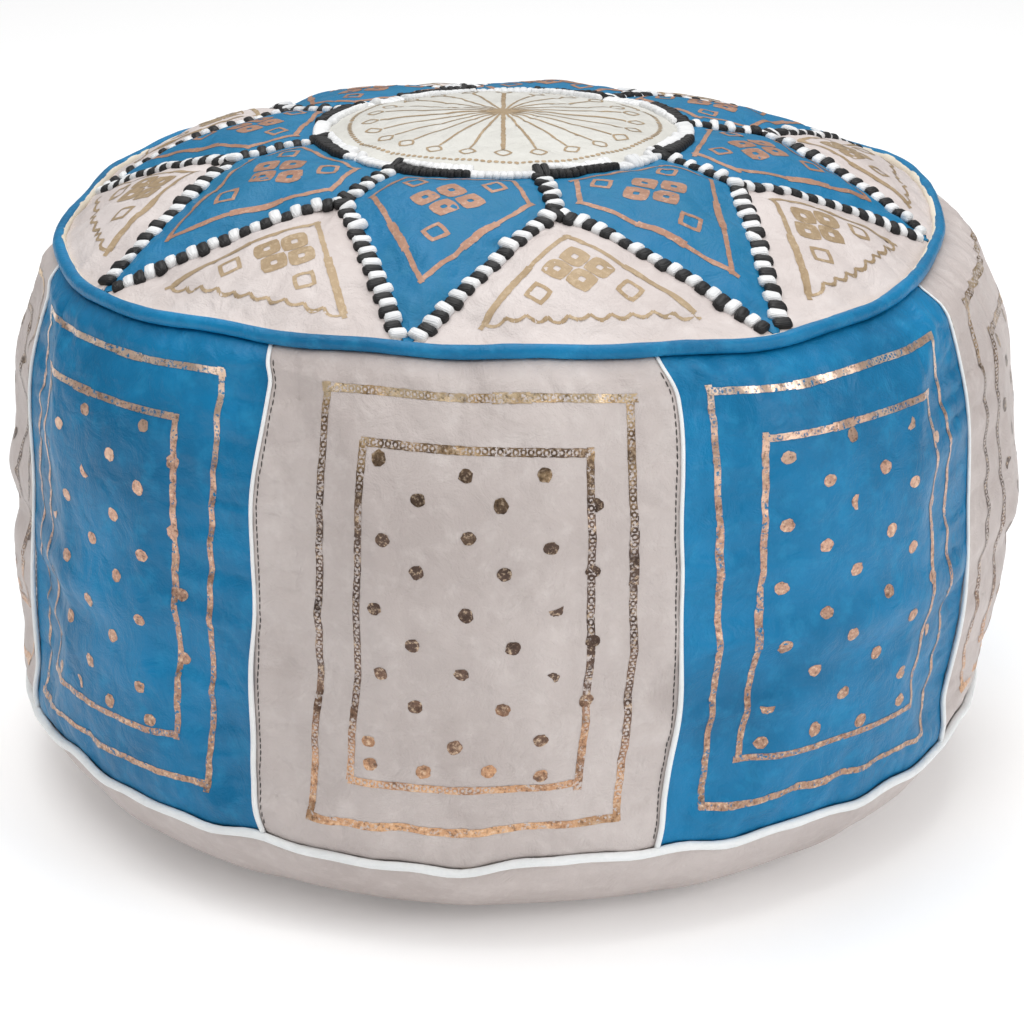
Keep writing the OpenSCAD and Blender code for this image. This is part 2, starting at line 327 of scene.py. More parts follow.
def seam_at(k, z):
    """The turn of side seam k at a height: it wanders, and bows out round the fuller cream panels."""
    k0 = (k - 1) % PANELS
    wander = 2.8 * MM * wave_at(z / (46 * MM), k0 * 9.1, 0)
    t = min(1, max(0, (z - HEM_Z) / (RIM_Z - HEM_Z)))
    bow = math.sin(math.pi * t) ** 0.6 - 0.6 * math.exp((HEM_Z - z) / (25 * MM))
    wander += SEAM_BOW[k0] * MM * bow * (-1 if k0 % 2 == 0 else 1)
    return seam_turn(k) + math.degrees(wander / BELLY_R)


def side_panel(k):
    """A side panel between two seams, from just over the hem to just under the rim."""
    low = HEM_Z + 0.8 * MM
    high = RIM_Z - 2.5 * MM

    def place(s, t):
        z = low + (high - low) * t
        turn = seam_at(k, z) * (1 - s) / 2 + seam_at(k + 1, z) * (1 + s) / 2
        return on_side(turn, z, -SIDE_SINK + 2.9 * MM * pillow(s, t, 6))

    return sheet(f"side_panel_{k}_leather", 54, 68, place)


def medallion_sheet():
    """The round leather in the middle: a square grid drawn out to a disc."""
    def place(s, t):
        t = 2 * t - 1
        r = MEDALLION_R - 3 * MM
        x = s * math.sqrt(1 - t * t / 2) * r
        y = t * math.sqrt(1 - s * s / 2) * r
        edge = min(1, (x * x + y * y) / r ** 2)
        return on_crown(x, y, -1.0 * MM + 2 * MM * (1 - edge ** 4))

    return sheet("medallion_leather", 40, 40, place)


kites = [top_panel(f"kite_{k}_leather", kite_plan, tip_turn(k), 24, 32, 2.6 * MM)
         for k in NUMBERS]
triangles = [top_panel(f"triangle_{k}_leather", triangle_plan, tip_turn(k) + STEP / 2, 36, 24, 2.2 * MM)
             for k in NUMBERS]
sides = [side_panel(k) for k in NUMBERS]
medallion = medallion_sheet()
stuff(kites + triangles, 2.5, 0.012, 6 * MM)
stuff([medallion], 0.4, 0.002, 2 * MM)
stuff(sides, 2.0, 0.012, 8 * MM)


def base_profile(d):
    """The base leather's outer face: d from 0 at the hem to 1 at the middle of the base."""
    roll_r = ((HEM_R - FOOT_R) ** 2 + HEM_Z ** 2) / (2 * HEM_Z)
    swing = math.acos((roll_r - HEM_Z) / roll_r)
    if d < 0.4:
        a = swing * (1 - d / 0.4)
        return FOOT_R + roll_r * math.sin(a), roll_r * (1 - math.cos(a))
    r = FOOT_R * (1 - (d - 0.4) / 0.6)
    rim = min(1, max(0, (r - 150 * MM) / (16 * MM)))
    return r, LIFT_Z * (1 - rim * rim * (3 - 2 * rim))


def base_half(side):
    """Half of the base: s from -1 to 1 round it, t from 0 at the hem to 1 at the zip."""
    def place(s, t):
        a = math.radians(90 * (1 - 0.9985 * s))
        end = min(SLOT_HALF / max(math.sin(a), 1e-6), SLOT_END / max(abs(math.cos(a)), 1e-6))
        if abs(math.cos(a)) * end >= SLOT_END * 0.9999 and math.sin(a) < SLOT_HALF / SLOT_END:
            end = SLOT_END
        first = 1 - end / FOOT_R * 0.6
        r, z = base_profile(t * first)
        return Vector((r * math.cos(a), side * r * math.sin(a), z))

    return sheet(f"base_{'back' if side > 0 else 'front'}_leather", 110, 36, place)


bases = [base_half(-1), base_half(1)]


# ---------------------------------------------------------------- finishing the panels

def smoothstep(t):
    """0 below 0, 1 above 1, and a smooth step between."""
    t = min(1, max(0, t))
    return t * t * (3 - 2 * t)


def wrinkle(obj, field):
    """Moves each vertex along its normal by field(point)."""
    n = np.zeros(len(obj.data.vertices) * 3)
    obj.data.vertices.foreach_get("normal", n)
    co = coordinates(obj)
    amount = np.array([field(Vector(p)) for p in co])
    set_coordinates(obj, co + n.reshape(-1, 3) * amount[:, None])
    return obj


def ridge(x, y, seed, sharp):
    """Narrow valleys that wander over the leather: 1 in a valley and 0 elsewhere."""
    return (1 - abs(wave_at(x, y, seed))) ** sharp


def side_field(k):
    """Gathers under the rim and over the hem, soft level folds, and creases that run in from the seams."""
    local = random.Random(100 + k)
    folds = [(local.uniform(85, 210) * MM, local.uniform(0.9, 2.2) * MM, local.uniform(8, 16) * MM,
              local.uniform(-0.1, 0.1)) for _ in range(2)]
    folds.append((local.uniform(126, 140) * MM, 4.2 * MM, 11 * MM, local.uniform(-0.03, 0.03)))
    middle = math.radians(seam_turn(k) + STEP / 2)

    def field(p):
        turn = math.atan2(p.x, -p.y)
        u = math.remainder(turn - middle, 2 * math.pi) * BELLY_R
        top = math.exp(-(RIM_Z - p.z) / (30 * MM))
        low = math.exp(-(p.z - HEM_Z) / (18 * MM))
        beside = smoothstep((abs(u) - 55 * MM) / (40 * MM))
        # Gathers 11 mm wide at rim and hem, with deeper tucks 34 mm apart
        gather = wave_at(u / (11 * MM), k * 3.1, p.z / (90 * MM))
        lift = 2.0 * MM * gather * (top + low)
        lift -= 2.4 * MM * ridge(u / (34 * MM), p.z / (150 * MM), k * 2.3, 14) * (top + 0.7 * low)
        # Level creases, mostly beside the seams, then broad unevenness and slanting handling creases
        lift -= 1.4 * MM * ridge(u / (90 * MM), p.z / (17 * MM), k * 4.9, 12) * (0.25 + beside)
        lift += 1.7 * MM * wave_at(u / (60 * MM), p.z / (34 * MM), k * 7.7)
        lift -= 0.5 * MM * ridge(u / (15 * MM) + p.z / (40 * MM), p.z / (22 * MM), k * 1.9, 10)
        # Folds with a lip above each
        for z, depth, width, tilt in folds:
            d = (p.z - z - tilt * u) / width
            fade = 0.75 + 0.6 * wave_at(u / (40 * MM), z * 90, k)
            lift += depth * fade * (0.6 * math.exp(-(d - 1.7) ** 2) - math.exp(-d * d))
        # All of it fades at the rim, the hem and the seams, where the leather is sewn down
        inside = smoothstep((p.z - HEM_Z - 1 * MM) / (9 * MM))
        inside *= smoothstep((RIM_Z - 3 * MM - p.z) / (7 * MM))
        reach = min(abs(math.remainder(turn - math.radians(seam_at(j, p.z)), 2 * math.pi))
                    for j in (k, k + 1))
        held = 0.2 + 0.8 * smoothstep(reach * BELLY_R / (15 * MM))
        return max(lift, -3.2 * MM) * (0.15 + 0.85 * inside) * held

    return field


def top_field(seed):
    """Soft unevenness and fine creases on the top's leather."""
    def field(p):
        lift = 1.1 * MM * wave_at(p.x / (24 * MM), p.y / (24 * MM), seed * 5.3)
        return lift - 0.6 * MM * ridge(p.x / (19 * MM), p.y / (19 * MM), seed * 3.1, 12)

    return field


def base_field(p):
    """Gathers at the hem that calm down towards the zip."""
    a = math.atan2(p.y, p.x)
    edge = math.exp(-abs(HEM_Z - p.z) / (18 * MM))
    gather = wave_at(a * 22, p.z / (60 * MM), 4.2)
    clear = smoothstep((abs(p.y) - 9 * MM) / (22 * MM))
    beyond = smoothstep((abs(p.x) - SLOT_END) / (30 * MM))
    return (1.2 * MM * gather * edge + 0.8 * MM * noise.noise(p * 18)) * max(clear, beyond * 0.4)


fields = [top_field(i) for i in range(2 * PANELS + 1)] + [side_field(k) for k in NUMBERS]
for panel, field in zip(kites + triangles + [medallion] + sides, fields):
    wrinkle(apply_modifier(panel, "SUBSURF", levels=1, render_levels=1), field)
for half in bases:
    wrinkle(half, base_field)
    co = coordinates(half)
    co[:, 2] = np.maximum(co[:, 2], 0.2 * MM)
    set_coordinates(half, co)


def surface(objects):
    """One tree of all these sheets' faces, for laying things on them."""
    points, faces = [], []
    for o in objects:
        first = len(points)
        points += [v.co.copy() for v in o.data.vertices]
        faces += [[first + i for i in p.vertices] for p in o.data.polygons]
    return BVHTree.FromPolygons(points, faces)


crown_skin = surface(kites + triangles + [medallion])
side_skin = surface(sides)


def lay_on_crown(x, y, lift):
    """A point over the crown's leather, and the leather's normal there."""
    mid = Vector((0, 0, CROWN_MID))
    p = on_crown(x, y, 20 * MM)
    hit, normal = crown_skin.ray_cast(p, (mid - p).normalized())[:2]
    if hit is None:
        hit, normal = on_crown(x, y), (p - mid).normalized()
    if normal.dot(p - mid) < 0:
        normal = -normal
    return hit + (p - mid).normalized() * lift, normal


def lay_on_side(turn, z, lift):
    """A point over the side's leather, and the leather's normal there."""
    p = on_side(turn, z, 25 * MM)
    inward = (on_side(turn, z) - p).normalized()
    hit, normal = side_skin.ray_cast(p, inward)[:2]
    if hit is None:
        hit, normal = on_side(turn, z), -inward
    if normal.dot(inward) > 0:
        normal = -normal
    return hit - inward * lift, normal


# ---------------------------------------------------------------- lacing

def ball(name, segments, rings):
    """A ball 1 across with its poles on X."""
    bpy.ops.mesh.primitive_uv_sphere_add(segments=segments, ring_count=rings, radius=0.5,
                                         rotation=(0, math.pi / 2, 0))
    return fix_place(added(name))


def rounded_bar(name):
    """One wrapped bar of lacing, 1 long, 1 wide and 1 high, lying along X."""
    bar = ball(name, 14, 9)
    co = coordinates(bar) * 2
    flat = np.abs(co[:, :2]) ** 6
    round_in_plan = np.maximum(np.linalg.norm(co[:, :2], axis=1), 1e-9)
    square = round_in_plan / np.maximum(flat.sum(axis=1), 1e-18) ** (1 / 6)
    reach = round_in_plan ** 0.45 * square / round_in_plan
    co[:, :2] *= np.where(round_in_plan < 1e-6, 0, reach)[:, None]
    set_coordinates(bar, co / 2)
    return bar


def rows_of(bar, places, name, materials):
    """Copies of a bar joined as one piece.

    places is [(point, along, up, (length, width, height), slot)].
    """
    shape = coordinates(bar)
    faces = [list(p.vertices) for p in bar.data.polygons]
    points, polygons, slots = [], [], []
    for point, along, up, size, slot in places:
        across = up.cross(along).normalized()
        up = along.cross(across).normalized()
        turn = np.array([along.normalized(), across, up])
        first = len(points)
        points += [tuple(p) for p in (shape * np.array(size)) @ turn + np.array(point)]
        polygons += [[first + i for i in f] for f in faces]
        slots += [slot] * len(faces)
    obj = built(name, points, polygons, slots, materials)
    uv = obj.data.uv_layers.new(name="wrap")
    base_uv = bar.data.uv_layers.active.data
    flat = np.zeros(len(base_uv) * 2)
    base_uv.foreach_get("uv", flat)
    uv.data.foreach_set("uv", np.tile(flat, len(places)))
    return obj


def seam_bars(a, b, pitch, blue_side, first_slot=0):
    """Bars across the seam from a to b in plan. blue_side points to the side that white bars lean to."""
    length = (b - a).length
    count = max(2, round(length / pitch))
    along = (b - a).normalized()
    across = Vector((-along.y, along.x, 0)) * blue_side
    places = []
    for i in range(count):
        slot = (i + first_slot) % 2
        d = (i + 0.5) * length / count
        shift = (0.6 if slot == 1 else -0.6) * MM + rng.uniform(-0.4, 0.4) * MM
        p = a + along * d + across * shift
        point, normal = lay_on_crown(p.x, p.y, LACE_LIFT)
        lie = across + along * rng.uniform(-0.12, 0.12)
        lie = (lie - normal * lie.dot(normal)).normalized()
        size = (LACE_W * rng.uniform(0.92, 1.08), pitch * rng.uniform(1.06, 1.16), LACE_HIGH)
        places.append((point, lie, normal, size, slot))
    return places


# ---------------------------------------------------------------- materials

def srgb(code):
    """An sRGB hex colour as linear RGBA."""
    code = code.lstrip("#")
    out = []
    for i in (0, 2, 4):
        c = int(code[i:i + 2], 16) / 255
        out.append(c / 12.92 if c <= 0.04045 else ((c + 0.055) / 1.055) ** 2.4)
    return (*out, 1.0)


def add(tree, kind, sockets=None, **settings):
    """Adds a node, gives it its settings, and sets or links its sockets."""
    n = tree.nodes.new(kind)
    for key, value in settings.items():
        setattr(n, key, value)
    for name, value in (sockets or {}).items():
        if isinstance(value, bpy.types.NodeSocket):
            tree.links.new(value, n.inputs[name])
        else:
            n.inputs[name].default_value = value
    return n


def new_material(name):
    """An empty node material and its tree."""
    m = bpy.data.materials.new(name)
    m.use_nodes = True
    m.node_tree.nodes.clear()
    return m, m.node_tree


def stretch(tree, value, low, high, to_low=0.0, to_high=1.0):
    """Maps a value from one range to another, clamped."""
    n = add(tree, "ShaderNodeMapRange", {"Value": value, "From Min": low, "From Max": high,
                                         "To Min": to_low, "To Max": to_high})
    return n.outputs[0]


def dye(tree, field, low, high, under, over, most=1.0):
    """From colour under, where a field is low, to colour over, where it is high: hex codes or sockets."""
    mix = add(tree, "ShaderNodeMix", data_type="RGBA", blend_type="MIX")
    tree.links.new(stretch(tree, field, low, high, 0, most), mix.inputs[0])
    for socket, value in ((mix.inputs[6], under), (mix.inputs[7], over)):
        if isinstance(value, str):
            socket.default_value = srgb(value)
        else:
            tree.links.new(value, socket)
    return mix.outputs[2]


def close(tree, shader):
    """Makes a shader the material's surface."""
    add(tree, "ShaderNodeOutputMaterial", {"Surface": shader.outputs[0]})


def object_place(tree):
    """The Object coordinates."""
    return add(tree, "ShaderNodeTexCoord").outputs["Object"]


def speckle(tree, where, scale, detail, roughness=0.5, distortion=0.0):
    """Noise with scale cells in a metre."""
    return add(tree, "ShaderNodeTexNoise", {"Vector": where, "Scale": scale, "Detail": detail,
                                            "Roughness": roughness, "Distortion": distortion}).outputs[0]


def relief(tree, height, strength, distance, over=None):
    """A bump, over another bump if one is given."""
    bump = add(tree, "ShaderNodeBump", {"Height": height, "Strength": strength, "Distance": distance})
    if over is not None:
        tree.links.new(over, bump.inputs["Normal"])
    return bump.outputs[0]


def principled(tree, colour, roughness, normal, metallic=0.0, shine=0.5):
    """A principled shader with a bumped normal."""
    return add(tree, "ShaderNodeBsdfPrincipled", {"Base Color": colour, "Roughness": roughness,
                                                  "Normal": normal, "Metallic": metallic,
                                                  "Specular IOR Level": shine})


# How strongly the leather's grain is raised
GRAIN = 0.35


def goatskin_shader(tree, main, shade, light, roughness, shine=0.3):
    """Leather: dye in patches of 90 mm, spots of 10 mm and veins of 33 mm, handling creases of 16 mm, and a
    grain of 1.6 mm pebbles and 1.1 mm pores, twice the real size so that it shows.
    """
    where = object_place(tree)
    patches = speckle(tree, where, 11.0, 4.0, 0.6)
    spots = speckle(tree, where, 95.0, 3.0, 0.65)
    veins = speckle(tree, where, 30.0, 6.0, 0.7, 1.6)
    colour = dye(tree, patches, 0.35, 0.68, shade, main)
    colour = dye(tree, spots, 0.5, 0.8, colour, light, 0.5)
    colour = dye(tree, veins, 0.52, 0.72, colour, shade, 0.45)
    pebbles = add(tree, "ShaderNodeTexVoronoi", {"Vector": where, "Scale": 620.0},
                  feature="DISTANCE_TO_EDGE")
    pores = speckle(tree, where, 900.0, 2.0)
    creases = speckle(tree, where, 62.0, 5.0, 0.6, 0.7)
    bump = relief(tree, stretch(tree, pebbles.outputs[0], 0, 0.25), GRAIN, 0.14 * MM)
    bump = relief(tree, pores, GRAIN * 0.6, 0.1 * MM, bump)
    bump = relief(tree, creases, 0.85, 2.2 * MM, bump)
    dull = stretch(tree, spots, 0.3, 0.75, roughness - 0.06, roughness + 0.1)
    return principled(tree, colour, dull, bump, shine=shine)


def dyed_goatskin(name, *look, **more):
    """Vegetable-tanned goatskin, dyed by hand: uneven colour, a pebbled grain and soft handling creases."""
    m, tree = new_material(name)
    close(tree, goatskin_shader(tree, *look, **more))
    return m


def waxed_thread(name, main, shade):
    """Waxed cotton thread wrapped side by side: fine ridges along each bar and a soft shine."""
    m, tree = new_material(name)
    wrap = add(tree, "ShaderNodeUVMap", uv_map="wrap").outputs[0]
    ridges = add(tree, "ShaderNodeTexWave", {"Vector": wrap, "Scale": 5.0, "Distortion": 1.5,
                                             "Detail": 1.0}, bands_direction="X")
    soil = speckle(tree, object_place(tree), 60.0, 3.0)
    colour = dye(tree, soil, 0.35, 0.7, shade, main)
    close(tree, principled(tree, colour, 0.55, relief(tree, ridges.outputs[0], 0.5, 0.35 * MM)))
    return m


def pressed_foil(name, main, dark, glint_colour, roughness, metallic):
    """Metal foil pressed into leather with a hot tool: uneven, worn through in spots, and glittering there
    in painted glints.
    """
    m, tree = new_material(name)
    where = object_place(tree)
    wear = speckle(tree, where, 330.0, 3.0, 0.7)
    tone = speckle(tree, where, 26.0, 2.0)
    colour = dye(tree, tone, 0.35, 0.65, dark, main)
    # The wear spots keep their real bump, and their lighter colour is painted glint
    colour = dye(tree, wear, 0.52, 0.7, colour, glint_colour)
    close(tree, principled(tree, colour, roughness, relief(tree, wear, 0.9, 0.5 * MM), metallic))
    return m


# Light flakes are painted glints; dark flakes are the foil's own flaky tone
PAINTED_GLINT = "#ecd2b4"
FLAKE_DARK = "#4a3d36"


def rolled_foil(name, leather, reflection_ramp, fill, width=3.7 * MM, cell=3.5 * MM):
    """Foil rolled on with a hot wheel: two rails with a row of rings between, over the leather under it.

    The (height in metres, colour) ramp is painted reflection: lighter low down and at the top, darker at
    the middle; fill is how much is solid.
    """
    m, tree = new_material(name)

    def calc(operation, a, b=0.0, clamp=False):
        return add(tree, "ShaderNodeMath", {0: a, 1: b}, operation=operation, use_clamp=clamp).outputs[0]

    stroke = add(tree, "ShaderNodeSeparateXYZ",
                 {0: add(tree, "ShaderNodeUVMap", uv_map="stroke").outputs[0]})
    along = calc("SUBTRACT", calc("FRACT", calc("DIVIDE", stroke.outputs[0], cell)), 0.5)
    across = calc("MULTIPLY", stroke.outputs[1], width / cell)
    away = calc("SQRT", calc("ADD", calc("MULTIPLY", along, along), calc("MULTIPLY", across, across)))
    ring = stretch(tree, calc("ABSOLUTE", calc("SUBTRACT", away, 0.33)), 0.17, 0.11)
    rails = stretch(tree, calc("ABSOLUTE", stroke.outputs[1]), 0.33, 0.38)
    where = object_place(tree)
    wear = speckle(tree, where, 420.0, 3.0, 0.7)
    patch = speckle(tree, where, 38.0, 2.0)
    rubbed = stretch(tree, add(tree, "ShaderNodeSeparateXYZ", {0: where}).outputs[2], 0.085, 0.07)
    solid = calc("MAXIMUM", stretch(tree, patch, 0.62 - fill * 0.4, 0.7 - fill * 0.4), rubbed)
    cover = calc("MAXIMUM", calc("MAXIMUM", ring, rails), solid)
    cover = calc("MULTIPLY", cover, stretch(tree, wear, 0.36, 0.44), clamp=True)
    foil = foil_shader(tree, where, reflection_ramp)
    mix = add(tree, "ShaderNodeMixShader", {0: cover, 1: goatskin_shader(tree, *leather).outputs[0],
                                            2: foil.outputs[0]})
    close(tree, mix)
    return m


def foil_shader(tree, where, reflection_ramp):
    """Foil with painted reflection by height, uneven borders between shades, painted glints as light
    flakes, and dark flakes.
    """
    height = add(tree, "ShaderNodeSeparateXYZ", {0: where}).outputs[2]
    mottle = stretch(tree, speckle(tree, where, 70.0, 3.0), 0.3, 0.7, -0.025, 0.025)
    high = add(tree, "ShaderNodeMath", {0: height, 1: mottle}, operation="ADD")
    low, top = reflection_ramp[0][0], reflection_ramp[-1][0]
    ramp = add(tree, "ShaderNodeValToRGB", {0: stretch(tree, high.outputs[0], low, top)})
    stops = ramp.color_ramp.elements
    while len(stops) < len(reflection_ramp):
        stops.new(0.5)
    for stop, (z, colour) in zip(stops, reflection_ramp):
        stop.position = (z - low) / (top - low)
        stop.color = srgb(colour)
    flakes = speckle(tree, where, 500.0, 3.0, 0.7)
    # Light flakes: painted glints
    lit = dye(tree, flakes, 0.52, 0.66, ramp.outputs[0], PAINTED_GLINT, 0.6)
    lit = dye(tree, flakes, 0.46, 0.36, lit, FLAKE_DARK, 0.6)
    return principled(tree, lit, 0.34, relief(tree, flakes, 0.7, 0.35 * MM), 0.85)


def stamped_foil(name, reflection_ramp):
    """Foil stamped on with a hot punch, with a flaky face, painted reflection by height and painted glints.
    """
    m, tree = new_material(name)
    close(tree, foil_shader(tree, object_place(tree), reflection_ramp))
    return m


# Leather looks are (main colour, shade, light, roughness), and foil ramps are (height in metres, colour),
# which are painted reflection
BLUE = ("#0a80b4", "#04638f", "#2a95c3", 0.42)
CREAM = ("#dad1ce", "#cbc0bc", "#e3dbd8", 0.5)
# A darker copy of CREAM for the sides, the base and under the gold rolls: painted shade for surfaces that
# face sideways and down
SHADED_CREAM = ("#cfc5c1", "#bbb0ac", "#dbd3cf", 0.5)
# Painted reflection: gold light at the foot, dark at middle height and light at the top; copper lighter
# towards the top
GOLD_REFLECTION_RAMP = [(0.055, "#d0a47e"), (0.085, "#bf9270"), (0.115, "#7d6252"), (0.150, "#5e4c44"),
               (0.205, "#5a4a42"), (0.235, "#7c6652"), (0.255, "#c8a880"), (0.275, "#e4cba6")]
COPPER_REFLECTION_RAMP = [(0.055, "#b08e78"), (0.100, "#a88470"), (0.150, "#b48e7a"), (0.205, "#c49c88"),
                 (0.240, "#dcb8a2"), (0.275, "#f6dcc8")]
blue_goatskin = dyed_goatskin("blue_goatskin_dyed", *BLUE)
# The kites' greyer, darker copy of the blue: partly real fading on the upward faces, partly painted sheen
faded_sheen_goatskin = dyed_goatskin("faded_blue_goatskin_painted_sheen", "#19729a", "#0f74a4", "#3580a2", 0.5)
cream_goatskin = dyed_goatskin("cream_goatskin_dyed", *CREAM)
shaded_cream_goatskin = dyed_goatskin("shaded_side_cream_goatskin", *SHADED_CREAM)
white_goatskin = dyed_goatskin("white_goatskin_dyed", "#d9d8d2", "#cdcbc4", "#e2e1dc", 0.5)
white_piping = dyed_goatskin("white_piping_goatskin", "#f4f6f6", "#e8eaea", "#fbfbfb", 0.5)
black_thread = waxed_thread("black_cotton_thread_waxed", "#141214", "#0c0b0c")
white_thread = waxed_thread("white_cotton_thread_waxed", "#f3f3f3", "#e2e3e4")
grey_thread = waxed_thread("grey_linen_thread_waxed", "#5a5652", "#474340")
# The foils below carry the painted reflection ramps and painted glints
gold_chain = rolled_foil("gold_foil_rolled", SHADED_CREAM, GOLD_REFLECTION_RAMP, 0.22)
copper_chain = rolled_foil("copper_foil_rolled", BLUE, COPPER_REFLECTION_RAMP, 0.75)
gold_spots = stamped_foil("gold_foil_stamped", GOLD_REFLECTION_RAMP)
copper_spots = stamped_foil("copper_foil_stamped", COPPER_REFLECTION_RAMP)
# The last colour of each pressed foil is painted glint
tan_foil = pressed_foil("tan_foil_pressed", "#b09a7c", "#a38b6b", "#c0ab8e", 0.5, 0.25)
salmon_foil = pressed_foil("salmon_foil_pressed", "#b0866f", "#a07660", "#c29c86", 0.5, 0.25)


def skin(obj, material, thickness=LEATHER):
    """Gives a sheet its thickness, inwards, and its leather."""
    obj.data.materials.clear()
    obj.data.materials.append(material)
    apply_modifier(obj, "SOLIDIFY", thickness=thickness, offset=-1, use_even_offset=False)
    only(obj)
    bpy.ops.object.shade_smooth()
    return obj


made = []


def keep(obj, slot, *nodes):
    """Notes a finished piece: the finish it takes and the CAD nodes it stands for."""
    made.append((obj, slot, nodes, BODY))
    return obj


for k in NUMBERS:
    keep(skin(kites[k - 1], faded_sheen_goatskin), "blue_leather", f"kite_{k}")
    keep(skin(triangles[k - 1], cream_goatskin), "cream_leather", f"triangle_{k}")
    cream = k % 2 == 1
    keep(skin(sides[k - 1], shaded_cream_goatskin if cream else blue_goatskin),
         "cream_leather" if cream else "blue_leather", f"side_panel_{k}")
keep(skin(medallion, white_goatskin), "white_leather", "medallion")
keep(skin(bases[0], shaded_cream_goatskin), "cream_leather", "base_front")
keep(skin(bases[1], shaded_cream_goatskin), "cream_leather", "base_back")

bar = rounded_bar("lacing_bar")
threads = [black_thread, white_thread]
for k in NUMBERS:
    turn = tip_turn(k)
    places = []
    for side in (-1, 1):
        fork = at(FORK_R + 1 * MM, turn + side * STEP / 2)
        tip = at(RIM_R - 6 * MM, turn + side * 1.1)
        places += seam_bars(fork, tip, KITE_PITCH, -side, first_slot=(k + side) % 2)
    keep(rows_of(bar, places, f"kite_{k}_lacing", threads), "black_lacing", f"kite_lacing_{k}")
places = []
for k in NUMBERS:
    turn = tip_turn(k) + STEP / 2
    places += seam_bars(at(MEDALLION_R - 1 * MM, turn), at(FORK_R - 1 * MM, turn), RADIAL_PITCH, 1)
keep(rows_of(bar, places, "radial_seam_lacing", threads), "black_lacing", "radial_lacing")


def edging_places():
    """White stitches all round the medallion's edge, and black ones where an arc lies over them."""
    white, black = [], []
    for i in range(EDGE_STITCHES):
        turn = 360 * i / EDGE_STITCHES
        past = (turn - tip_turn(1) - STEP / 2 + 2) % STEP
        reach = 0
        if past < ARC_SPAN:
            reach = (9.6 - 6.0 * past / ARC_SPAN + rng.uniform(-0.7, 0.7)) * MM
        outer = MEDALLION_R + 0.8 * MM
        inner = MEDALLION_R - (6.6 if reach == 0 else 9.0) * MM + rng.uniform(-0.5, 0.5) * MM
        for store, a, b in ((white, inner, outer - reach * 0.75), (black, outer - reach, outer + 1.2 * MM)):
            if b - a < 1.2 * MM or (store is black and not reach):
                continue
            p = at((a + b) / 2, turn)
            point, normal = lay_on_crown(p.x, p.y, LACE_LIFT)
            lie = at(1, turn + rng.uniform(-5, 5))
            lie = (lie - normal * lie.dot(normal)).normalized()
            high = 3.8 if store is white else 5.6
            store.append((point, lie, normal, ((b - a) * 1.12, 4.1 * MM, high * MM), 0))
    return white, black


white_places, black_places = edging_places()
keep(rows_of(bar, white_places, "medallion_edge_white", [white_thread]), "white_lacing",
     "medallion_edging_white")
keep(rows_of(bar, black_places, "medallion_edge_black", [black_thread]), "black_lacing",
     "medallion_edging_black")
bpy.data.objects.remove(bar)


# ---------------------------------------------------------------- piping

def ring_cord(name, r, z, cord_r, material):
    """Piping round the pouf, a little uneven."""
    bpy.ops.mesh.primitive_torus_add(major_radius=r, minor_radius=cord_r, location=(0, 0, z),
                                     major_segments=360, minor_segments=14)
    obj = fix_place(added(name))
    wrinkle(obj, lambda p: 0.3 * MM * noise.noise(p * 90))
    obj.data.materials.append(material)
    bpy.ops.object.shade_smooth()
    return obj


keep(ring_cord("rim_piping_leather", RIM_R + 0.6 * MM, RIM_Z, RIM_CORD * 0.8, blue_goatskin),
     "blue_leather", "rim_piping")
keep(ring_cord("base_piping_leather", HEM_R + 0.6 * MM, HEM_Z, HEM_CORD * 0.78, white_piping),
     "white_leather", "base_piping")


def upright_piping(k):
    """A thin cord up one side seam, along the seam's own line, and pinched where the panels are full."""
    rows, around = 110, 12
    low, high = HEM_Z + 2 * MM, RIM_Z - 3 * MM
    bpy.ops.mesh.primitive_cylinder_add(vertices=around, radius=1, depth=2, end_fill_type="NGON")
    obj = added(f"side_piping_{k}_leather")
    mesh = obj.data
    bm = bmesh.new()
    bm.from_mesh(mesh)
    upright = [e for e in bm.edges if abs(e.verts[0].co.z - e.verts[1].co.z) > 1]
    bmesh.ops.subdivide_edges(bm, edges=upright, cuts=rows - 1)
    for v in bm.verts:
        t = (v.co.z + 1) / 2
        z = low + (high - low) * t
        turn = seam_at(k, z)
        pinch = smoothstep((z - 105 * MM) / (60 * MM))
        radius = (1.35 - 0.45 * pinch) * MM
        middle = on_side(turn, z, (-0.2 - 0.7 * pinch) * MM)
        out = (on_side(turn, z, 1) - on_side(turn, z, 0)).normalized()
        side = at(1, turn + 90)
        v.co = middle + (side * v.co.x + out * v.co.y) * radius
    bm.to_mesh(mesh)
    bm.free()
    mesh.update()
    mesh.materials.append(white_piping)
    bpy.ops.object.shade_smooth()
    return face_out(obj)


for k in NUMBERS:
    keep(upright_piping(k), "white_leather", f"side_piping_{k}")


def stitched(name, spots):
    """Grey machine stitches as one piece. spots is [(point, along, up)]."""
    stitch = ball("stitch", 6, 5)
    obj = rows_of(stitch, [(*spot, STITCH, 0) for spot in spots], name, [grey_thread])
    bpy.data.objects.remove(stitch)
    return obj


def seam_stitches(k):
    """Stitches beside a side seam, on the cream panel."""
    cream_side = 1 if k % 2 else -1
    count = 66
    spots = []
    for i in range(count):
        z = HEM_Z + 6 * MM + (RIM_Z - HEM_Z - 14 * MM) * (i + 0.5) / count
        drift = 0.4 * MM * wave_at(i * 0.3, k * 5.7, 0)
        turn = seam_at(k, z) + math.degrees((2.6 * MM * cream_side + drift) / BELLY_R)
        point, normal = lay_on_side(turn, z, STITCH_LIFT)
        along = (on_side(turn, z + 1 * MM) - on_side(turn, z)).normalized()
        along = (along - normal * along.dot(normal)).normalized()
        spots.append((point, along, normal))
    return stitched(f"seam_{k}_stitches", spots)


for k in NUMBERS:
    keep(seam_stitches(k), "piping_cord")


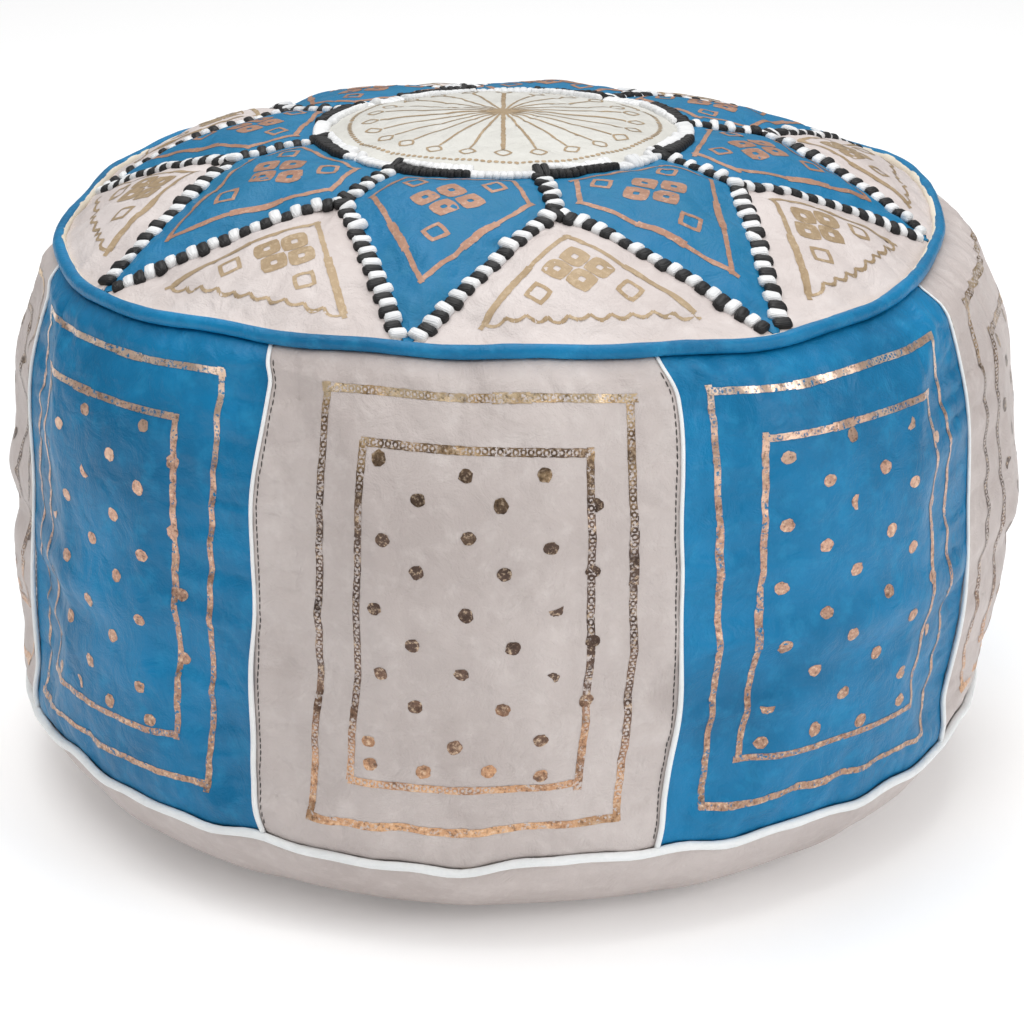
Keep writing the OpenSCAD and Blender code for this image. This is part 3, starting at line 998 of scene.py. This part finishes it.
def zip_stitches():
    """Two rows of stitches along the zip, through the base leather."""
    along, down = Vector((1, 0, 0)), Vector((0, 0, -1))
    count = 74
    spots = []
    for side in (-1, 1):
        for i in range(count):
            x = (-SLOT_END + 4 * MM) + (2 * SLOT_END - 8 * MM) * (i + 0.5) / count
            point = Vector((x, side * (SLOT_HALF + 3 * MM), LIFT_Z - STITCH_LIFT))
            spots.append((point, along, down))
    return stitched("zip_stitches", spots)


keep(zip_stitches(), "piping_cord")


# ---------------------------------------------------------------- printed foil

class Print:
    """Foil printed on a panel: strips and spots laid on its leather."""

    def __init__(self, place):
        self.place = place
        self.points, self.faces, self.along, self.finish = [], [], [], []

    def add_point(self, u, v, lift, uv):
        """Adds a point of foil over the leather and gives its number."""
        self.points.append(self.place(u, v, lift)[0])
        self.along.append(uv)
        return len(self.points) - 1

    def line(self, a, b, width, ragged=0.08, lift=FOIL_LIFT, step=2.0 * MM):
        """A straight stroke from a to b, three points wide."""
        a, b = Vector(a), Vector(b)
        length = (b - a).length
        count = max(2, round(length / step))
        across = Vector((-(b - a).y, (b - a).x)).normalized()
        last = None
        for i in range(count + 1):
            p = a.lerp(b, i / count)
            row = []
            for side in (-0.5, 0, 0.5):
                q = p + across * (width * (1 + ragged * rng.uniform(-1, 1)) * side)
                row.append(self.add_point(q.x, q.y, lift, (i * length / count, side)))
            if last:
                for j in (0, 1):
                    self.faces.append((last[j], row[j], row[j + 1], last[j + 1]))
                    self.finish.append(0)
            last = row

    def path(self, points, width, **options):
        """Strokes from each point to the next."""
        for a, b in zip(points, points[1:]):
            self.line(a, b, width, **options)

    def spot(self, mid, radius, hole=0.0, squash=1.0, corners=12, power=2.0, turn=0.0, miss=0.0,
             uneven=0.03):
        """A round spot, or a diamond at a power near 1, with a hole or part missed out."""
        mid = Vector(mid)
        rings = [max(hole, 0.02 * radius), radius]
        rough = [1 + uneven * rng.uniform(-1, 1) for _ in range(corners)]
        rows = []
        first_angle = rng.uniform(0, 6.28) if miss else 0
        sweep = 2 * math.pi * (1 - miss)
        for ring in rings:
            row = []
            for i in range(corners + (1 if miss else 0)):
                a = first_angle + sweep * i / corners
                c, s = math.cos(a), math.sin(a)
                k = (abs(c) ** power + abs(s) ** power) ** (-1 / power) * rough[i % corners]
                p = Vector((c * k * ring, s * k * ring * squash))
                p.rotate(Matrix.Rotation(turn, 2))
                q = mid + p
                row.append(self.add_point(q.x, q.y, FOIL_LIFT, (ring, i / corners)))
            rows.append(row)
        n = len(rows[0])
        last = n - 1 if miss else n
        for i in range(last):
            j = (i + 1) % n
            self.faces.append((rows[0][i], rows[1][i], rows[1][j], rows[0][j]))
            self.finish.append(1)

    def piece(self, name, *materials):
        """The print as one object: strokes in the first material and spots in the last."""
        slots = [min(f, len(materials) - 1) for f in self.finish]
        obj = built(name, self.points, self.faces, slots, materials)
        uv = obj.data.uv_layers.new(name="stroke")
        for loop in obj.data.loops:
            uv.data[loop.index].uv = self.along[loop.vertex_index]
        return face_out(obj)


# How far each panel's print sits off its middle, in degrees
PRINT_SHIFT = (0.8, -1.3, 0.6, -0.5, 0.9, -0.8, 0.4, -0.9)


def side_print(k):
    """Two frames and staggered dots on a side panel. u runs across from the panel's middle, v is height."""
    centre = seam_turn(k) + STEP / 2 + PRINT_SHIFT[k - 1]

    def place(u, v, lift):
        return lay_on_side(centre + math.degrees(u / BELLY_R), v, lift)

    art = Print(place)
    local = random.Random(300 + k)
    for half, low, high in ((73, 65, 263), (53, 86, 241)):
        w = (3.7 if k % 2 else 3.2) * MM
        skew = local.uniform(-2, 2)
        corners = [(-half + skew, low), (half + skew, low + local.uniform(-2, 2)),
                   (half - skew, high), (-half - skew, high + local.uniform(-1, 2))]
        corners = [Vector(c) * MM for c in corners]
        for i in range(4):
            a, b = corners[i], corners[(i + 1) % 4]
            over = (b - a).normalized() * local.uniform(0.5, 4) * MM
            art.line(a - over, b + over * 0.6, w)
            mid = a.lerp(b, local.uniform(0.35, 0.65))
            if local.random() < 0.6:
                art.line(mid - (b - a) * 0.06, mid + (b - a) * 0.07, w * 1.25, lift=FOIL_OVER)
    for row in range(10):
        columns = 4 if row == 9 else 3
        for c in range(columns):
            u = (-43 + 19.5 * (row % 2) + 39 * c if columns == 3 else -44 + 27 * c) + local.uniform(-3, 3)
            v = 234 - 15.6 * row + local.uniform(-2.5, 2.5)
            miss = 0.45 if local.random() < 0.08 else 0
            art.spot((u * MM, v * MM), 3.4 * MM, corners=16, squash=local.uniform(0.82, 1.05), miss=miss,
                     uneven=0.1)
    finishes = (gold_chain, gold_spots) if k % 2 else (copper_chain, copper_spots)
    return art.piece(f"side_panel_{k}_foil", *finishes)


def plan_place(turn):
    """u is across a top panel and v is along it, from the middle of the crown."""
    across, along = at(1, turn + 90), at(1, turn)

    def place(u, v, lift):
        p = across * u + along * v
        return lay_on_crown(p.x, p.y, lift)

    return place


def four_squares(art, v, size, gap_u, gap_v):
    """Four rounded squares in a cross, each with a hole. Sizes are in mm."""
    for u, w in ((0, gap_v), (0, -gap_v), (gap_u, 0), (-gap_u, 0)):
        art.spot((u * MM, (v + w) * MM), size * MM, hole=size * 0.25 * MM, corners=20, power=1.3)


def diamond(art, u, v, size):
    """A hollow diamond. Sizes are in mm."""
    art.spot((u * MM, v * MM), size * MM, hole=size * 0.62 * MM, corners=16, power=1.12)


def kite_print(k):
    """A kite's outline, four squares and three diamonds."""
    art = Print(plan_place(tip_turn(k)))
    outline = [(-25, 99), (25, 99), (37, 120), (0, 184), (-37, 120)]
    outline = [Vector(p) * MM for p in outline]
    for i in range(5):
        a, b = outline[i], outline[(i + 1) % 5]
        over = (b - a).normalized() * rng.uniform(1, 4) * MM
        art.line(a - over, b + over * 0.5, 2.4 * MM, ragged=0.15)
    for i in (2, 3):
        a, b = outline[i], outline[i + 1]
        art.line(a.lerp(b, 0.3), a.lerp(b, 0.62), 3.8 * MM, ragged=0.12, lift=FOIL_OVER)
    four_squares(art, 126, 7.2, 10.6, 8.2)
    diamond(art, -18.5, 110, 6.4)
    diamond(art, 18.5, 110, 6.4)
    diamond(art, 0, 153, 7)
    return art.piece(f"kite_{k}_foil", salmon_foil)


def triangle_print(k):
    """A triangle with a scalloped foot, four squares and two diamonds."""
    art = Print(plan_place(tip_turn(k) + STEP / 2))
    top, left, right = Vector((0, 152)) * MM, Vector((-47, 198)) * MM, Vector((47, 198)) * MM
    for end in (left, right):
        over = (end - top).normalized() * 3 * MM
        art.line(top - over * 0.6, end + over, 2.4 * MM, ragged=0.15)
        art.line(top.lerp(end, 0.45), end, 3.6 * MM, ragged=0.12, lift=FOIL_OVER)
    scallops = 10
    points = []
    for i in range(scallops * 5 + 1):
        t = i / (scallops * 5)
        dip = abs(math.sin(math.pi * scallops * t)) * 2.6 * MM
        bow = 4 * MM * math.sin(math.pi * t)
        points.append(left.lerp(right, t) + Vector((0, dip + bow)))
    art.path(points, 1.6 * MM, ragged=0.15)
    four_squares(art, 176, 7.2, 9.6, 7.6)
    diamond(art, -20.5, 189, 6.6)
    diamond(art, 20.5, 189, 6.6)
    return art.piece(f"triangle_{k}_foil", tan_foil)


def sun_print():
    """Rays with a small ring at each end, in a circle of dots."""
    art = Print(plan_place(0))
    rays = 24
    for i in range(rays):
        a = 2 * math.pi * i / rays
        d = Vector((math.sin(a), math.cos(a)))
        wide = 2.2 if i % 6 == 0 else 1.3
        art.line(d * 3 * MM, d * 60 * MM, wide * MM, ragged=0.25)
        art.spot(d * 65 * MM, 4.6 * MM, hole=3.2 * MM, corners=12, power=1.3, turn=-a)
    turns = 150
    for i in range(turns):
        a = 2 * math.pi * i / turns
        r = (76 + 0.8 * math.sin(5 * a)) * MM
        art.spot(Vector((math.sin(a), math.cos(a))) * r, 1.25 * MM, corners=8)
    art.spot((0, 0), 4 * MM, corners=16)
    return art.piece("medallion_foil", tan_foil)


for k in NUMBERS:
    keep(side_print(k), "gold_foil")
    keep(kite_print(k), "gold_foil")
    keep(triangle_print(k), "gold_foil")
keep(sun_print(), "gold_foil")


# ---------------------------------------------------------------- inside

def settled_copy(node, name, slot, material, shrink):
    """A merged copy of a CAD node that settles with the leather round it."""
    obj = only(linked(name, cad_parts[node].data.copy()))
    bpy.ops.object.mode_set(mode="EDIT")
    bpy.ops.mesh.select_all(action="SELECT")
    bpy.ops.mesh.remove_doubles(threshold=0.02 * MM)
    bpy.ops.object.mode_set(mode="OBJECT")
    co = coordinates(obj)
    over = np.clip(co[:, 2:] - 60 * MM, 0, None)
    co[:, :2] *= 1 - shrink
    co[:, 2:] -= over * shrink
    set_coordinates(obj, co)
    obj.data.materials.clear()
    obj.data.materials.append(material)
    return keep(obj, slot, node)


def woven_cotton(name, main, shade, pitch):
    """Plain-woven cotton: even crossing threads, coarser than real so that they show, and no shine."""
    m, tree = new_material(name)
    where = object_place(tree)
    waves = [add(tree, "ShaderNodeTexWave", {"Vector": where, "Scale": 0.05 / pitch, "Distortion": 0.4},
                 bands_direction=axis).outputs[1] for axis in ("X", "Y", "Z")]
    height = add(tree, "ShaderNodeMath", {0: waves[0], 1: waves[1]}, operation="ADD").outputs[0]
    height = add(tree, "ShaderNodeMath", {0: height, 1: waves[2]}, operation="ADD").outputs[0]
    soil = speckle(tree, where, 20.0, 4.0)
    colour = dye(tree, soil, 0.35, 0.7, shade, main)
    close(tree, principled(tree, colour, 0.85, relief(tree, height, 0.5, 0.3 * MM)))
    return m


cotton = woven_cotton("cotton_calico_woven", "#e6dfd0", "#d8cfbd", 0.9 * MM)
wadding = woven_cotton("polyester_wadding_needled", "#f4f2ee", "#e8e5de", 2.5 * MM)
tape = woven_cotton("zip_tape_woven", "#d9d2c6", "#c9c1b3", 0.7 * MM)
settled_copy("liner_bag", "liner_bag_cotton", "cotton_liner", cotton, 0.018)
settled_copy("stuffing", "stuffing_wadding", "wadding", wadding, 0.022)
settled_copy("rim_piping_cord", "rim_cord", "piping_cord", cotton, 0)
settled_copy("base_piping_cord", "base_cord", "piping_cord", cotton, 0)


def plain_finish(name, main, shade, roughness, metallic, scale):
    """Moulded nylon or cast zinc: an even colour with slight handling marks."""
    m, tree = new_material(name)
    marks = speckle(tree, object_place(tree), scale, 4.0)
    colour = dye(tree, marks, 0.4, 0.7, main, shade)
    rough = stretch(tree, marks, 0.3, 0.7, roughness, roughness + 0.15)
    close(tree, principled(tree, colour, rough, relief(tree, marks, 0.3, 0.1 * MM), metallic))
    return m


nylon = plain_finish("nylon_teeth_moulded", "#e4dfd6", "#cfc9be", 0.4, 0.0, 120)
zinc = plain_finish("zinc_slider_cast", "#c2c4c7", "#a3a6aa", 0.28, 1.0, 180)
for finish, nodes in ((tape, ("zip_tape_front", "zip_tape_back")),
                      (nylon, ("zip_teeth_front", "zip_teeth_back")),
                      (zinc, ("zip_stops", "zip_slider", "zip_pull"))):
    for node in nodes:
        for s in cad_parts[node].material_slots:
            s.material = finish


# ---------------------------------------------------------------- settling

def smooth(t):
    """smoothstep for arrays."""
    t = np.clip(t, 0, 1)
    return t * t * (3 - 2 * t)


def hump(value, middle, width):
    """1 at the middle, and less than 0.4 a width away from it."""
    return np.exp(-((value - middle) / width) ** 2)


def settle(co):
    """How a stuffed pouf sits: full shoulders, a rim that isn't quite round, and seams that wander.

    grow moves a point outwards, lean moves it along X and dz moves it up. The middle of the base stays.
    """
    x, y, z = co[:, 0], co[:, 1], co[:, 2]
    a = np.arctan2(x, -y)
    r = np.maximum(np.hypot(x, y), 1e-9)
    edge = np.clip(r / RIM_R, 0, 1) ** 3
    outer = smooth((r - 178 * MM) / (24 * MM))
    belly = hump(z, 130 * MM, 80 * MM) * outer
    hem = hump(z, HEM_Z, 30 * MM) * outer
    rim = hump(z, RIM_Z, 40 * MM) * edge
    crown = z > 290 * MM
    # The rim is a little four-sided, and drawn in at its left and right
    high = smooth((z - BELLY_Z) / (RIM_Z - BELLY_Z)) * edge
    grow = high * (-0.018 * np.cos(4 * a) + 0.017 * np.sin(4 * a)) * r
    grow -= 4 * MM * edge * smooth((z - 262 * MM) / (18 * MM)) * np.sin(a) ** 4
    # The sides are slimmer, with full shoulders and a full foot
    grow -= 3 * MM * smooth((RIM_Z - z) / (20 * MM)) * smooth((z - 55 * MM) / (20 * MM))
    grow += 6.8 * MM * smooth((RIM_Z - z) / (13 * MM)) * smooth((z - 165 * MM) / (70 * MM))
    grow += 3 * MM * hump(z, 45 * MM, 25 * MM) * outer
    # Belly and rim are uneven
    grow += belly * MM * (0.9 * np.sin(3 * a + 0.6) + 0.7 * np.sin(7 * a + 2.0))
    grow += rim * 0.8 * MM * np.sin(13 * a + 1.3)
    # The foot stands to the left and the belly to the right
    lean = (-4.5 + 7 * smooth((z - 30 * MM) / (130 * MM)) - 5.5 * smooth((z - 261 * MM) / (20 * MM))) * MM
    lean = np.where(z < 160 * MM, lean * outer, lean)
    # Hem and rim wander, the hem sags at the front, and the crown is full at the front and flat at the back
    dz = hem * 1.6 * MM * (np.sin(5 * a + 1.0) + 0.6 * np.sin(11 * a + 0.5))
    dz += 0.9 * MM * hem * (np.sin(23 * a) + 0.7 * np.sin(37 * a + 1.0))
    dz -= 5 * MM * hem * hump(a, -0.09, 0.22)
    dz += rim * 1.5 * MM * (np.sin(3 * a + 2.0) + 0.5 * np.sin(8 * a) + 0.4 * np.sin(19 * a + 0.7))
    dz += 5 * MM * hump(r, 135 * MM, 48 * MM) * crown * (0.5 + 0.5 * np.cos(a))
    dz -= 3.5 * MM * hump(r, 85 * MM, 60 * MM) * crown * (0.5 - 0.5 * np.cos(a))
    scale = 1 + grow / r
    floor = np.minimum(z, 0.1 * MM)
    return np.stack([x * scale + lean, y * scale, np.maximum(z + dz, floor)], axis=1)


for obj, slot, nodes, body in made:
    set_coordinates(obj, settle(coordinates(obj)))
    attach(obj, body)
    if nodes:
        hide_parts(*nodes)


# ---------------------------------------------------------------- studio

# Lamps: name, place in metres, size in metres, power in watts
LAMPS = (("key", (-0.4, -0.3, 2.5), 2.1, 31), ("side", (2.0, -1.4, 1.3), 1.2, 20),
         ("front", (-0.5, -2.1, 2.4), 1.3, 9.5), ("back", (0.2, 1.3, 2.5), 1.8, 18))


def aim(obj, place):
    """Turns a lamp or camera towards a place."""
    obj.rotation_euler = (place - obj.location).to_track_quat("-Z", "Y").to_euler()


def studio():
    """A white floor, an even sky, four soft lamps and a long-lens camera from the front and above."""
    bpy.ops.mesh.primitive_plane_add(size=14)
    floor = added("floor")
    m, tree = new_material("floor_matte_white")
    white = {"Base Color": (0.96, 0.96, 0.96, 1), "Roughness": 0.9, "Emission Color": (1, 1, 1, 1),
             "Emission Strength": 0.15}
    close(tree, add(tree, "ShaderNodeBsdfPrincipled", white))
    floor.data.materials.append(m)
    world = bpy.data.worlds.new("studio_air")
    world.use_nodes = True
    tree = world.node_tree
    tree.nodes.clear()
    way = add(tree, "ShaderNodeTexCoord").outputs["Generated"]
    height = add(tree, "ShaderNodeSeparateXYZ", {0: way}).outputs[2]
    glow = add(tree, "ShaderNodeBackground", {"Strength": stretch(tree, height, 0.0, 0.9, 0.16, 0.66)})
    add(tree, "ShaderNodeOutputWorld", {"Surface": glow.outputs[0]})
    bpy.context.scene.world = world
    for name, place, size, power in LAMPS:
        bpy.ops.object.light_add(type="AREA", location=place)
        lamp = bpy.context.active_object
        lamp.name = f"{name}_light"
        lamp.data.size = size
        lamp.data.energy = power
        aim(lamp, Vector((0, 0, 0.2)))
    bpy.ops.object.camera_add(location=Vector((1.2, -1740, 782.5)) * MM)
    camera = bpy.context.active_object
    aim(camera, Vector((1.2, 0, 125)) * MM)
    camera.data.lens = 128.7
    camera.data.sensor_width = 36
    bpy.context.scene.camera = camera
    bpy.context.scene.view_settings.view_transform = "Standard"


studio()
